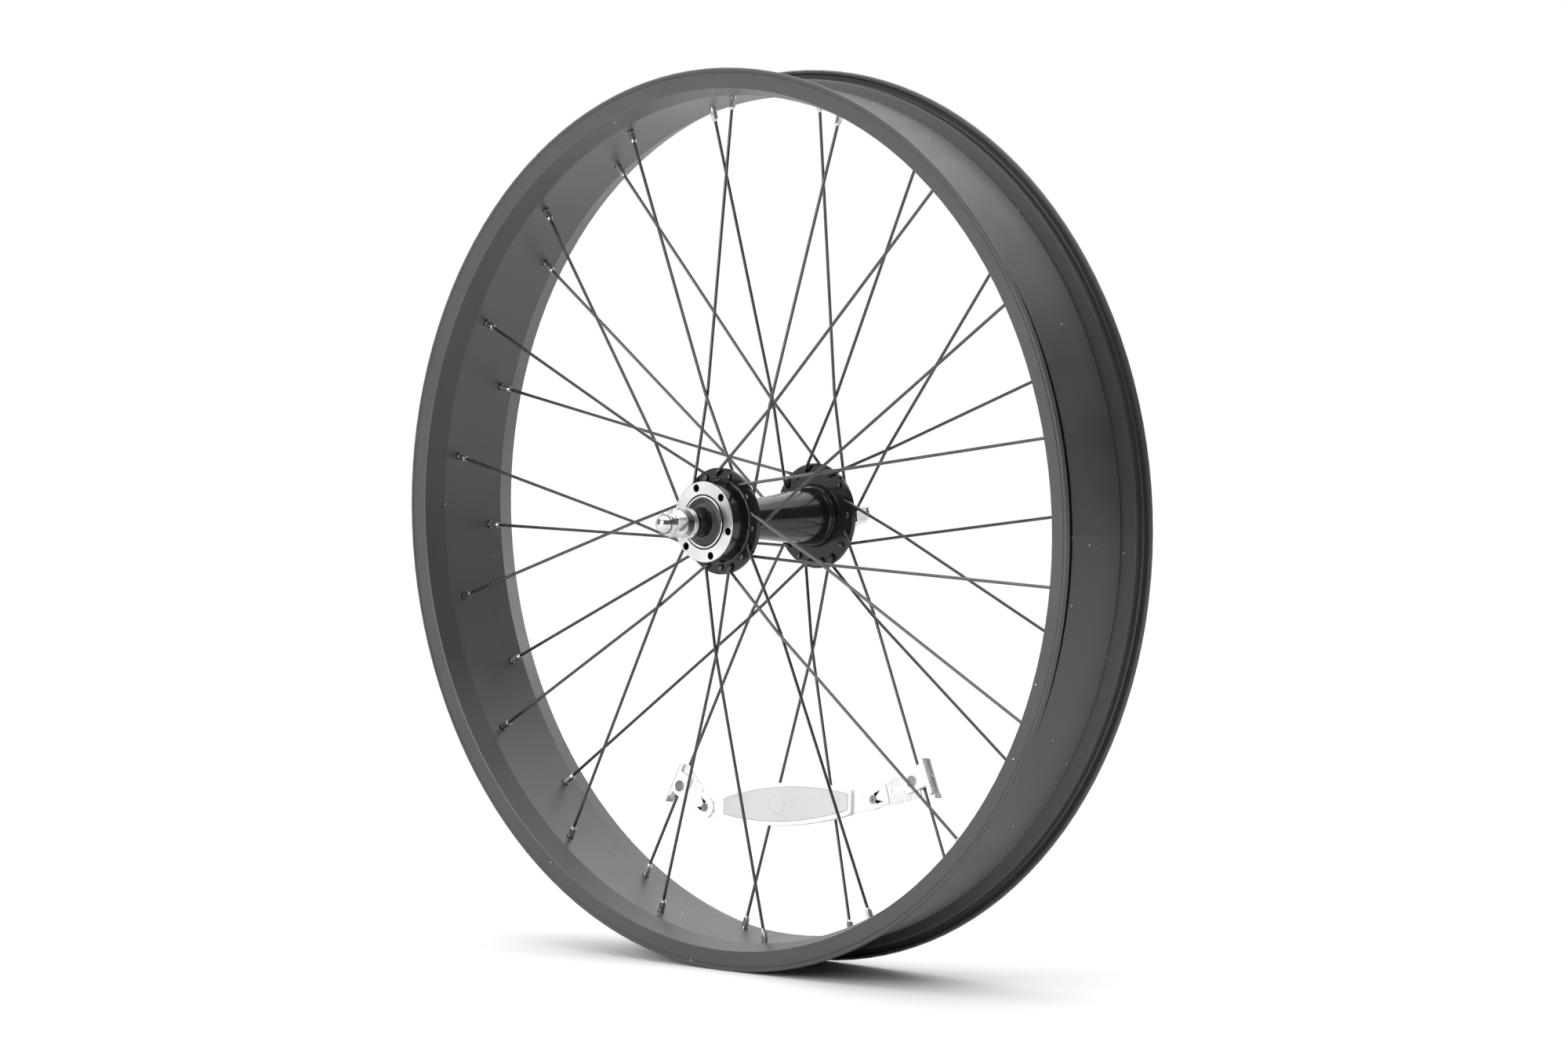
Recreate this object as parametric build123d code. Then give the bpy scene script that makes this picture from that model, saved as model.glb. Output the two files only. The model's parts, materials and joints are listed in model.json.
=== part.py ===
from build123d import *
import math
import os

# Front wheel of a fat-tyre bicycle. Millimetres, +Z up, origin at the wheel's centre, axle along +Y.
# The disc-brake side is -Y and is called left. Angles run from +X towards +Z.

# --- rim ---
RIM_R = 286.0            # outside radius at the lips
BEAD_R = 279.5           # bead seat, for the 559 mm bead diameter
BED_R = 269.0            # hub-side face of the spoke bed
BED_WALL = 2.0
RIM_HALF_WIDTH = 40.7
WALL_FOOT = (273.1, 39.8)    # radius and half width where the upright wall meets the slope
BED_HALF_WIDTH = 25.8
VALVE_ANGLE = 90.0       # on the centre line, clear of the nipples on both sides
VALVE_HOLE_R = 4.25
STRIP_R = 274.0
STRIP_THICKNESS = 0.8
STRIP_HALF_WIDTH = 22.5

# --- lacing ---
SPOKES_PER_SET = 9
PITCH = 360.0 / SPOKES_PER_SET
SPOKE_R = 1.0
CROSS_BEND_R = 25.0
HOLE_CIRCLE_R = 29.3
SPOKE_HOLE_R = 1.3
HEAD_R = 1.9
ELBOW_R = {"outer": 2.5, "inner": 2.0}     # bend radius, which sets how far a spoke stands off its flange
LACE_TURN = {            # two-cross: degrees from a spoke's hub hole to its rim hole
    ("left", "outer"): -40.0, ("left", "inner"): 40.0,
    ("right", "outer"): 40.0, ("right", "inner"): -40.0,
}
CROSS_ANGLE = 30.0       # polar angle from the hub hole to the outer, interlaced crossing
CROSS_GAP = 0.12         # half the gap between two spokes where they cross
NIPPLE_HOLE_R = 2.45
NIPPLE_R = 2.0
NIPPLE_FLATS = 3.4
NIPPLE_REACH = 8.6       # how far a nipple stands out of the bed
NIPPLE_SEAT = 2.6
NIPPLE_TOP = 4.5

# --- hub ---
FLANGE_Y = {"left": -41.0, "right": 47.7}
NIPPLE_Y = {"left": -15.0, "right": 15.0}
HOLE_PHASE = {"left": 13.0, "right": 3.0}
FLANGE_R = 33.8
FLANGE_HALF = 1.6
EDGE = 0.8               # flange edge chamfer
END_Y = 57.1             # disc face, and the far end of the shell
DISC_R = 25.75
PILOT_R = 17.6
ROTOR_PCD = 44.0
ROTOR_HOLE_R = 2.5
ROTOR_HOLE_DEPTH = 10.0
ROTOR_PHASE = 46.3
CUP_BORE_R = 15.2
CORE_R = 9.5             # hollow middle of the barrel

# --- bearings, stated for the +Y side ---
BALL_COUNT = 10
BALL_R = 2.381           # 3/16 inch balls
BALL_CIRCLE_R = 11.4
BALL_Y = 51.0
RACE_R = 2.45

# --- axle ---
THREAD_R = 4.99          # M10 x 1
THREAD_BORE_R = 5.03
AXLE_HALF = 90.0
LOCKNUT_Y = 67.5         # half of the 135 mm over-locknut width
WASHER_Y = (70.8, 74.4)
WASHER_R = 9.6
NUT_Y = (78.6, 87.5, 90.7)   # hex base, hex top, dome centre
NUT_FLATS = 15.0
COLLAR_R = 7.4
DOME_R = 6.6

# --- reflector, drawn in upright planes of constant y and then leaned along the spokes it is clipped to ---
LEAN = 8.4               # degrees, top towards +Y
LEAN_LINE = (19.5, -183.9)   # y, z of the line it leans about
FRAME_MIDDLE = (2.2, -184.4)
FRAME_TILT = 5.4         # degrees, rising towards +X
RIVET = {"left": (-69.0, -191.5), "right": (76.3, -176.1)}
PIN = {"left": (-93.3, -179.2), "right": (107.1, -162.7)}
GRIPPED = {"left": ("outer", 243.0), "right": ("inner", 303.0)}  # right-side spokes held, by rim angle
FRAME_Y = (16.0, 20.4)
LENS_Y = (15.3, 18.7)
EAR_Y = (18.75, 20.2)
CHEEK_Y = (17.3, 18.65)
ARM_Y = (18.55, 19.75)
CLIP_FRONT_Y = (17.3, 18.4)
POCKET_BACK_Y = 19.9
FRAME_LENGTH = 113.5
FRAME_HEIGHT = 27.6
FRAME_END = 15.6
BEZEL = 2.6
LENS_BOSS = (-6.0, 6.7, 0.7)     # place along the lens, radius, height
EAR_R = 6.5
RIVET_R = 1.6
RIVET_HEAD = (2.8, 0.8)  # radius of the front head and of its hollow
RIVET_Y = (16.6, 20.9)
PIN_R = 1.5
PIN_HEAD = (3.6, 1.1)
PIN_FRONT_Y = 16.3

# --- reflector arms: distances from the rivet, half widths ---
CHEEK_R = 6.8
STEP = (9.0, 12.0)       # where the arm steps back from the cheek to the plate
ARM_ROOT = 6.7
ARM_ABOVE = {"left": (8.8, 15.2), "right": (7.0, 9.2)}      # at the step and at the tip
ARM_BELOW = {"left": (6.7, 7.2), "right": (7.6, 11.8)}
TIP_BEYOND = 4.0         # arm's end past the pin
SLOT_START = 15.0
SLOT_BEYOND = 2.7
SLOT_WIDTH = 3.8
RIB_PITCH = 2.2
RIB_DEPTH = 0.45

# --- spoke clips: x from the spoke towards the frame, heights along the spoke ---
CLIP_OUTER = {"left": -3.2, "right": -8.2}
NECK_X = {"left": -1.2, "right": -5.0}        # column outside this, tongue inside it
CLIP_INNER = {"left": 11.0, "right": 11.0}
COLUMN_MIDDLE = {"left": 1.0, "right": -1.6}  # height above the pin
COLUMN_HEIGHT = 24.8
COLUMN_CORNER = 0.9
TONGUE_ABOVE = 8.6
TONGUE_BELOW = 6.4
BACK_WALL_X = 3.0
BACK_DEPTH = 2.0         # from the spoke's centre to the back of the clip
LATCH_THICKNESS = 1.0
LATCH_FRONT_Y = 17.8
LATCH_HEIGHT = 24.0
LATCH_DROP = 0.4         # latch's middle below the column's
LATCH_FOOT = 3.2


def polar(radius, degrees, y=0.0):
    """Point at a radius and angle about the axle."""
    angle = math.radians(degrees)
    return Vector(radius * math.cos(angle), y, radius * math.sin(angle))


def lathe(points, arc=None):
    """Ring turned about the axle from (radius, y) points; an arc may close the outline."""
    line = Polyline(*points, close=arc is None)
    outline = line if arc is None else line + ThreePointArc(points[-1], arc, points[0])
    return revolve(make_face(outline), Axis.Y, 360)


def around(solid, count, pitch):
    """Copies of a solid, spaced about the axle."""
    return [Rot(0, pitch * index, 0) * solid for index in range(count)]


def radial_drill(radius, degrees, y, start, depth):
    """Cylinder pointing away from the axle."""
    foot = polar(start, degrees, y)
    plane = Plane(origin=foot, z_dir=polar(1, degrees))
    return plane * Cylinder(radius, depth, align=(Align.CENTER, Align.CENTER, Align.MIN))


def axial_drill(radius, place, y_low, y_high):
    """Cylinder parallel to the axle."""
    plane = Plane(origin=(place.X, y_low, place.Z), z_dir=(0, 1, 0))
    return plane * Cylinder(radius, y_high - y_low, align=(Align.CENTER, Align.CENTER, Align.MIN))


def both_sides(name, solid):
    """The +Y piece and its mirror image on the disc side."""
    return {name + "_right": solid, name + "_left": mirror(solid, about=Plane.XZ)}


# --- rim and strip ---

def rim_half_outline():
    """(radius, y) points of one half, from the bed's middle out to the lip and back along the inside."""
    foot_r, foot_y = WALL_FOOT
    return [
        (BED_R, BED_HALF_WIDTH), (foot_r, foot_y), (foot_r + 0.6, foot_y + 0.3),
        (RIM_R - 3.4, RIM_HALF_WIDTH - 0.15), (RIM_R - 3.0, RIM_HALF_WIDTH - 0.55),
        (RIM_R - 2.4, RIM_HALF_WIDTH - 0.55), (RIM_R - 2.0, RIM_HALF_WIDTH - 0.1),
        (RIM_R - 0.7, RIM_HALF_WIDTH), (RIM_R, RIM_HALF_WIDTH - 0.7), (RIM_R, 38.4),
        (RIM_R - 0.8, 37.4), (RIM_R - 2.2, 37.2), (RIM_R - 3.2, 38.6), (BEAD_R + 1.0, 38.6),
        (BEAD_R, 37.6), (BEAD_R, 33.4), (BEAD_R + 0.6, 32.6), (BEAD_R + 0.6, 31.4),
        (BEAD_R - 0.4, 30.4), (BED_R + BED_WALL, 25.0),
    ]


def make_rim():
    half = rim_half_outline()
    outline = half + [(radius, -y) for radius, y in reversed(half)]
    ring = lathe(outline)
    chamber = [(272.8, 29.2), (274.6, 38.0), (277.9, 38.0), (277.9, 31.4)]
    ring -= lathe(chamber)
    ring -= lathe([(radius, -y) for radius, y in reversed(chamber)])
    for side, y in NIPPLE_Y.items():
        for hole in range(2 * SPOKES_PER_SET):
            angle = HOLE_PHASE[side] + hole * PITCH / 2
            ring -= radial_drill(NIPPLE_HOLE_R, angle, y, BED_R - 1, BED_WALL + 2)
    for y in (-35.0, 35.0):
        ring -= radial_drill(1.25, 180.0, y, BEAD_R - 3, 5)
    return ring - radial_drill(VALVE_HOLE_R, VALVE_ANGLE, 0, BED_R - 1, BED_WALL + 2)


def make_rim_strip():
    top = STRIP_R + STRIP_THICKNESS
    band = lathe([(STRIP_R, -STRIP_HALF_WIDTH), (STRIP_R, STRIP_HALF_WIDTH),
                  (top, STRIP_HALF_WIDTH), (top, -STRIP_HALF_WIDTH)])
    return band - radial_drill(VALVE_HOLE_R, VALVE_ANGLE, 0, STRIP_R - 1, 3)


# --- lacing ---

def spoke_points(side, kind, rim_angle):
    """Elbow, crossing and rim points of one spoke's centre line, and which way it lies off the flange."""
    outward = math.copysign(1, FLANGE_Y[side])
    run = outward if kind == "outer" else -outward
    turn = LACE_TURN[side, kind]
    hub_angle = rim_angle - turn
    elbow = polar(HOLE_CIRCLE_R, hub_angle, FLANGE_Y[side] + run * (FLANGE_HALF + ELBOW_R[kind]))
    seat = polar(BED_R, rim_angle, NIPPLE_Y[side])
    rim_point = polar(BED_R, abs(turn))
    slant = math.atan2(rim_point.Z, rim_point.X - HOLE_CIRCLE_R)
    cross_r = HOLE_CIRCLE_R * math.sin(slant) / math.sin(slant - math.radians(CROSS_ANGLE))
    cross = polar(cross_r, hub_angle + math.copysign(CROSS_ANGLE, turn))
    part_way = (cross - Vector(elbow.X, 0, elbow.Z)).length / (seat - elbow).length
    middle_y = FLANGE_Y[side] + part_way * (NIPPLE_Y[side] - FLANGE_Y[side])
    cross = Vector(cross.X, middle_y - run * (SPOKE_R + CROSS_GAP), cross.Z)
    return elbow, cross, seat, run


def make_spoke(side, kind, rim_angle):
    """One spoke: flat head, elbow through the flange, slight bend where it crosses its neighbour."""
    elbow, cross, seat, run = spoke_points(side, kind, rim_angle)
    flange_y = FLANGE_Y[side]
    start = Vector(elbow.X, flange_y - run * (FLANGE_HALF + 0.3), elbow.Z)
    end = seat + (seat - cross).normalized() * NIPPLE_SEAT
    path = FilletPolyline(start, elbow, cross, end, radius=[ELBOW_R[kind], CROSS_BEND_R])
    wire = sweep(Plane(origin=path @ 0, z_dir=path % 0) * Circle(SPOKE_R), path=path)
    near = flange_y - run * (FLANGE_HALF + 0.05)
    far = near - run * 1.1
    return wire + axial_drill(HEAD_R, elbow, min(near, far), max(near, far))


def make_nipple(side, kind, rim_angle):
    """Nipple along its spoke: head inside the rim, round neck, four flats and a short cone."""
    _, cross, seat, _ = spoke_points(side, kind, rim_angle)
    base = (Align.CENTER, Align.CENTER, Align.MIN)
    neck = Pos(0, 0, -1.6) * Cylinder(NIPPLE_R, NIPPLE_SEAT + 1.65, align=base)
    square = Box(NIPPLE_FLATS, NIPPLE_FLATS, NIPPLE_REACH - 3.1, align=base)
    flats = Pos(0, 0, 1.5 - NIPPLE_REACH) * (square & Cylinder(NIPPLE_R, NIPPLE_REACH, align=base))
    cone = Pos(0, 0, -NIPPLE_REACH) * Cone(1.35, NIPPLE_FLATS / 2, 1.5, align=base)
    head = Pos(0, 0, NIPPLE_SEAT) * Cylinder(3.0, NIPPLE_TOP - NIPPLE_SEAT, align=base)
    bore = Pos(0, 0, -NIPPLE_REACH - 1) * Cylinder(SPOKE_R + 0.03, NIPPLE_REACH + NIPPLE_TOP + 2, align=base)
    nipple = neck + flats + cone + head - bore
    return Plane(origin=seat, z_dir=(seat - cross).normalized()) * nipple


def make_lacing():
    nodes = {}
    for side in ("left", "right"):
        nipples = []
        for kind in ("outer", "inner"):
            angle = HOLE_PHASE[side] + (PITCH / 2 if kind == "inner" else 0)
            spoke = make_spoke(side, kind, angle)
            nodes["spokes_" + side + "_" + kind] = around(spoke, SPOKES_PER_SET, PITCH)
            nipples += around(make_nipple(side, kind, angle), SPOKES_PER_SET, PITCH)
        nodes["nipples_" + side] = nipples
    return nodes


# --- hub ---

def hub_outer_line():
    """Outside of the shell from the disc face to the far end: two flanges and a waisted barrel."""
    left_in = FLANGE_Y["left"] + FLANGE_HALF
    left_out = FLANGE_Y["left"] - FLANGE_HALF
    right_in = FLANGE_Y["right"] - FLANGE_HALF
    right_out = FLANGE_Y["right"] + FLANGE_HALF
    step = 1.4
    root = (20.0, left_in)
    waist = (13.3, left_in + 6.5)
    flare = (18.3, right_in - 5.5)
    shoulder = (20.4, right_in)
    return (
        Polyline((PILOT_R, -END_Y), (DISC_R - 0.4, -END_Y), (DISC_R, -END_Y + 0.4),
                 (DISC_R, left_out - step))
        + ThreePointArc((DISC_R, left_out - step), (DISC_R + 0.3 * step, left_out - 0.3 * step),
                        (DISC_R + step, left_out))
        + Polyline((DISC_R + step, left_out), (FLANGE_R - EDGE, left_out), (FLANGE_R, left_out + EDGE),
                   (FLANGE_R, left_in - EDGE), (FLANGE_R - EDGE, left_in), root)
        + ThreePointArc(root, (root[0] - 4.9, left_in + 1.7), waist)
        + Spline(waist, (12.9, -22.0), (13.4, -5.0), (15.4, 14.0), (17.2, 29.0), flare)
        + ThreePointArc(flare, (19.6, right_in - 3.6), shoulder)
        + Polyline(shoulder, (FLANGE_R - EDGE, right_in), (FLANGE_R, right_in + EDGE),
                   (FLANGE_R, right_out - EDGE), (FLANGE_R - EDGE, right_out), (21.4, right_out),
                   (20.0, right_out + step), (20.0, END_Y - 0.5), (19.5, END_Y), (PILOT_R, END_Y))
    )


def hub_bore_line():
    """Inside of the shell, from the far end back to the disc face."""
    half = [(PILOT_R, END_Y), (PILOT_R, END_Y - 1.5), (CUP_BORE_R, END_Y - 1.5), (CUP_BORE_R, 47.5),
            (11.0, 47.5), (CORE_R, 44.0)]
    return Polyline(*half, *[(radius, -y) for radius, y in reversed(half)])


def make_hub_shell():
    shell = revolve(make_face(hub_outer_line() + hub_bore_line()), Axis.Y, 360)
    for side, y in FLANGE_Y.items():
        for hole in range(2 * SPOKES_PER_SET):
            place = polar(HOLE_CIRCLE_R, HOLE_PHASE[side] + hole * PITCH / 2)
            shell -= axial_drill(SPOKE_HOLE_R, place, y - FLANGE_HALF - 1, y + FLANGE_HALF + 1)
    for hole in range(6):
        place = polar(ROTOR_PCD / 2, ROTOR_PHASE + 60 * hole)
        shell -= axial_drill(ROTOR_HOLE_R, place, -END_Y - 1, -END_Y + ROTOR_HOLE_DEPTH)
    return shell


def race_point(degrees):
    """(radius, y) on the race's section circle about a ball's centre."""
    angle = math.radians(degrees)
    return (BALL_CIRCLE_R + RACE_R * math.cos(angle), BALL_Y + RACE_R * math.sin(angle))


def make_cup():
    top = (race_point(0)[0], END_Y - 1.6)
    lip = race_point(-90)
    return lathe([lip, (lip[0] - 0.8, lip[1]), (lip[0] - 0.8, 47.55), (CUP_BORE_R - 0.02, 47.55),
                  (CUP_BORE_R - 0.02, END_Y - 1.6), top, race_point(0)], arc=race_point(-45))


def make_cone():
    """Cone screwed on the axle: race at its nose, shoulder, and a waist with two wrench flats."""
    foot = race_point(180)
    edge = race_point(120)
    cone = lathe([edge, (10.9, 53.6), (10.9, 55.0), (8.9, 57.0), (8.9, 62.8), (THREAD_BORE_R, 62.8),
                  (THREAD_BORE_R, 49.2), (foot[0], 49.2), foot], arc=race_point(150))
    for z in (-1, 1):
        cone -= Pos(0, 61.2, z * 10.5) * Box(20, 3.4, 6)
    return cone


def ball_angle(index):
    return 360.0 / BALL_COUNT * index


def make_balls():
    centre = Vector(BALL_CIRCLE_R, BALL_Y, 0)
    return around(Pos(*centre) * Sphere(BALL_R), BALL_COUNT, 360.0 / BALL_COUNT)


def make_retainer():
    """Pressed cage: a ring beside the balls with a finger between each pair."""
    cage = lathe([(12.3, 52.7), (13.5, 52.7), (13.5, 53.5), (12.3, 53.5)])
    finger = Rot(0, ball_angle(0.5), 0) * Pos(12.0, 51.6, 0) * Box(2.0, 2.4, 1.0)
    for copy in around(finger, BALL_COUNT, 360.0 / BALL_COUNT):
        cage += copy
    for index in range(BALL_COUNT):
        cage -= Pos(*polar(BALL_CIRCLE_R, ball_angle(index), BALL_Y)) * Sphere(RACE_R + 0.02)
    return cage


def make_dust_ring():
    low = END_Y - 1.45
    return lathe([(15.3, low), (16.55, low), (16.55, END_Y + 0.4), (16.2, END_Y + 0.8),
                  (15.65, END_Y + 0.8), (15.3, END_Y + 0.45)])


def make_dust_seal():
    """Dished rubber seal with a lip that stands just clear of the cone."""
    low = END_Y - 1.45
    return lathe([(15.2, low), (12.8, low), (11.6, low + 0.5), (9.35, 58.2), (9.35, 59.2),
                  (10.0, 59.2), (12.4, 57.0), (14.2, 56.5), (15.2, 56.9)])


def make_bearings():
    nodes = {}
    nodes.update(both_sides("bearing_cup", make_cup()))
    nodes.update(both_sides("cone", make_cone()))
    nodes.update(both_sides("ball_retainer", make_retainer()))
    nodes.update(both_sides("dust_ring", make_dust_ring()))
    nodes.update(both_sides("dust_seal", make_dust_seal()))
    balls = make_balls()
    nodes["bearing_balls_right"] = balls
    nodes["bearing_balls_left"] = [mirror(ball, about=Plane.XZ) for ball in balls]
    return nodes


# --- axle and its hardware ---

def make_axle():
    chamfered = 0.8
    tip = THREAD_R - chamfered
    half = [(0, AXLE_HALF), (tip, AXLE_HALF), (THREAD_R, AXLE_HALF - chamfered)]
    return lathe(half + [(radius, -y) for radius, y in reversed(half)])


def hexagon(flats, y_low, y_high, bevel):
    """Hexagonal prism along the axle with both ends turned to a bevel."""
    corner = flats / math.sqrt(3)
    face = Plane(origin=(0, y_low, 0), z_dir=(0, 1, 0)) * RegularPolygon(corner, 6)
    prism = extrude(face, amount=y_high - y_low)
    return prism & lathe([(0, y_low), (corner - bevel, y_low), (corner, y_low + bevel * 0.6),
                          (corner, y_high - bevel * 0.6), (corner - bevel, y_high), (0, y_high)])


def make_acorn_nut():
    base, shoulder, dome = NUT_Y
    body = hexagon(NUT_FLATS, base, shoulder, 1.0)
    body += lathe([(0, shoulder - 1), (COLLAR_R, shoulder - 1), (COLLAR_R, dome - 0.4),
                   (COLLAR_R - 0.4, dome), (0, dome)])
    body += Pos(0, dome, 0) * Sphere(DOME_R)
    return body - axial_drill(THREAD_BORE_R, Vector(0, 0, 0), base - 1, dome + 1.8)


def make_washer():
    low, high = WASHER_Y
    ring = lathe([(THREAD_BORE_R, low), (WASHER_R - 0.3, low), (WASHER_R, low + 0.3),
                  (WASHER_R, high - 0.4), (WASHER_R - 0.4, high), (THREAD_BORE_R, high)])
    groove = Pos(7.4, low, 0) * Box(3.0, 0.6, 0.6)
    for cut in around(groove, 18, 20):
        ring -= cut
    return ring


def make_axle_hardware():
    nodes = {"axle": make_axle()}
    washer = lathe([(THREAD_BORE_R, 62.85), (8.3, 62.85), (8.3, 63.85), (THREAD_BORE_R, 63.85)])
    locknut = hexagon(16.0, 63.9, LOCKNUT_Y, 0.8)
    locknut -= axial_drill(THREAD_BORE_R, Vector(0, 0, 0), 60, 70)
    nodes.update(both_sides("keyed_washer", washer))
    nodes.update(both_sides("locknut", locknut))
    nodes.update(both_sides("axle_washer", make_washer()))
    nodes.update(both_sides("acorn_nut", make_acorn_nut()))
    return nodes


# --- reflector ---

def upright(x, z, degrees):
    """Plane through (x, z), facing -Y, with its x axis turned up from +X."""
    return Plane(origin=(x, 0, z), x_dir=polar(1, degrees), z_dir=(0, -1, 0))


def slab(plane, sketch, y_low, y_high):
    """A sketch on an upright plane, given thickness from y_low to y_high."""
    return extrude(plane.offset(-y_high) * sketch, amount=y_high - y_low)


def frame_plane():
    """Reflector's middle, its x axis along the frame."""
    return upright(*FRAME_MIDDLE, FRAME_TILT)


def leaning():
    """Placement that takes the upright reflector to its lean along the spokes."""
    y, z = LEAN_LINE
    return Pos(0, y, z) * Rot(-LEAN, 0, 0) * Pos(0, -y, -z)


def in_plane(plane, x, z):
    """A place given by x and z, in an upright plane's own coordinates."""
    away = Vector(x - plane.origin.X, 0, z - plane.origin.Z)
    return away.dot(plane.x_dir), away.dot(plane.y_dir)


def boat(inset=0.0):
    """Frame outline: two long arcs and two straight ends."""
    half = FRAME_LENGTH / 2 - inset
    tall = FRAME_HEIGHT / 2 - inset
    end = FRAME_END / 2 - inset
    edges = (ThreePointArc((-half, end), (0, tall), (half, end)) + Line((half, end), (half, -end))
             + ThreePointArc((half, -end), (0, -tall), (-half, -end)) + Line((-half, -end), (-half, end)))
    outline = make_face(edges)
    return fillet(outline.vertices(), 3.0 - inset / 2)


def make_reflector_frame():
    """Shallow tray for the lens, with a round ear for each arm."""
    plane = frame_plane()
    frame = slab(plane, boat(), *FRAME_Y)
    frame -= slab(plane, boat(BEZEL), FRAME_Y[0] - 1, LENS_Y[1] + 0.1)
    for end, side in ((-1, "left"), (1, "right")):
        x, z = in_plane(plane, *RIVET[side])
        root = end * (FRAME_LENGTH / 2 - 1)
        tab = Polyline((root, EAR_R + 0.5), (x, z + EAR_R), (x, z - EAR_R), (root, -EAR_R - 0.5), close=True)
        frame += slab(plane, make_face(tab) + Pos(x, z) * Circle(EAR_R), *EAR_Y)
        frame -= slab(plane, Pos(x, z) * Circle(RIVET_R + 0.05), EAR_Y[0] - 1, EAR_Y[1] + 1)
    return frame


def make_reflector_lens():
    plane = frame_plane()
    place, radius, height = LENS_BOSS
    lens = slab(plane, boat(BEZEL + 0.1), *LENS_Y)
    return lens + slab(plane, Pos(place, 0) * Circle(radius), LENS_Y[0] - height, LENS_Y[0] + 1)


def arm_plane(side):
    """Origin at the rivet, x axis towards the clip pin."""
    x, z = RIVET[side]
    pin_x, pin_z = PIN[side]
    return upright(x, z, math.degrees(math.atan2(pin_z - z, pin_x - x)))


def pin_distance(side):
    return math.dist(RIVET[side], PIN[side])


def skyward(plane):
    """+1 where an upright plane's y axis points up, -1 where it points down."""
    return math.copysign(1, plane.y_dir.Z)


def arm_edge(side, widths, distance):
    """Width of the arm on one side of its pivot line, which grows evenly from the step to the tip."""
    tip = pin_distance(side) + TIP_BEYOND
    root_width, tip_width = widths[side]
    return root_width + (tip_width - root_width) * (distance - STEP[0]) / (tip - STEP[0])


def make_arm(side):
    """Slotted arm: round cheek over the ear, a step, then a ribbed plate that widens to the clip."""
    plane = arm_plane(side)
    sky = skyward(plane)
    tip = pin_distance(side) + TIP_BEYOND
    slot_end = pin_distance(side) + SLOT_BEYOND
    plate = Polyline(
        (STEP[0], sky * arm_edge(side, ARM_ABOVE, STEP[0])), (tip, sky * arm_edge(side, ARM_ABOVE, tip)),
        (tip, -sky * arm_edge(side, ARM_BELOW, tip)), (STEP[0], -sky * arm_edge(side, ARM_BELOW, STEP[0])),
        close=True)
    cheek = Circle(CHEEK_R) + Pos(STEP[1] / 2, 0) * Rectangle(STEP[1], 2 * ARM_ROOT)
    step = Pos(sum(STEP) / 2, 0) * Rectangle(STEP[1] - STEP[0], 2 * ARM_ROOT)
    slot = Pos((SLOT_START + slot_end) / 2, 0) * SlotOverall(slot_end - SLOT_START, SLOT_WIDTH)
    arm = slab(plane, cheek, *CHEEK_Y)
    arm += slab(plane, make_face(plate), *ARM_Y)
    arm += slab(plane, step, CHEEK_Y[0], ARM_Y[1])
    arm -= slab(plane, slot, ARM_Y[0] - 1, ARM_Y[1] + 1)
    arm -= slab(plane, Circle(RIVET_R + 0.05), CHEEK_Y[0] - 1, CHEEK_Y[1] + 1)
    inside = SLOT_WIDTH / 2 + 1.0
    for rib in range(1, int((tip - STEP[1]) / RIB_PITCH) + 1):
        along = STEP[1] + RIB_PITCH * rib
        for way, widths in ((sky, ARM_ABOVE), (-sky, ARM_BELOW)):
            outside = arm_edge(side, widths, along) + 1
            groove = Rectangle(RIB_PITCH * 0.45, outside - inside)
            groove = Pos(along, way * (inside + outside) / 2) * groove
            arm -= slab(plane, groove, ARM_Y[0] - 1, ARM_Y[0] + RIB_DEPTH)
    return arm


def make_rivet(side):
    plane = arm_plane(side)
    radius, hollow = RIVET_HEAD
    rivet = slab(plane, Circle(RIVET_R), *RIVET_Y)
    rivet += slab(plane, Circle(radius), RIVET_Y[0], CHEEK_Y[0] - 0.05)
    rivet += slab(plane, Circle(radius - 0.3), EAR_Y[1] + 0.05, RIVET_Y[1])
    return rivet - slab(plane, Circle(hollow), RIVET_Y[0] - 1, RIVET_Y[0] + 1)


def gripped_line(side):
    """Point beside the clip pin on the gripped spoke, and its direction to the hub, before the lean."""
    kind, rim_angle = GRIPPED[side]
    _, cross, seat, _ = spoke_points("right", kind, rim_angle)
    cross, seat = [(leaning().inverse() * Pos(*point)).position for point in (cross, seat)]
    up = (cross - seat).normalized()
    pin_x, pin_z = PIN[side]
    part_way = ((pin_x - seat.X) * up.X + (pin_z - seat.Z) * up.Z) / (up.X ** 2 + up.Z ** 2)
    return seat + up * part_way, up


def clip_plane(side):
    """Origin on the gripped spoke, x axis square to it and pointing at the reflector frame."""
    grip, up = gripped_line(side)
    tilt = math.degrees(math.atan2(up.Z, up.X)) - 90
    return upright(grip.X, grip.Z, tilt if side == "left" else tilt + 180)


def band(low, high, height, middle):
    """Rectangle from x low to x high, centred on a height."""
    return Pos((low + high) / 2, middle) * Rectangle(high - low, height)


def tongue(side, low, high, spare=0.0):
    """Strip over the arm, from x low to x high, with edges parallel to the arm."""
    plane = clip_plane(side)
    sky = skyward(plane)
    pin_x, pin_y = in_plane(plane, *PIN[side])
    rivet_x, rivet_y = in_plane(plane, *RIVET[side])
    slope = (rivet_y - pin_y) / (rivet_x - pin_x)
    above = sky * (TONGUE_ABOVE + spare) * math.hypot(1, slope)
    below = -sky * (TONGUE_BELOW + spare) * math.hypot(1, slope)
    corners = [(x, pin_y + slope * (x - pin_x) + rise)
               for x, rise in ((low, above), (high, above), (high, below), (low, below))]
    return make_face(Polyline(*corners, close=True))


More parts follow.
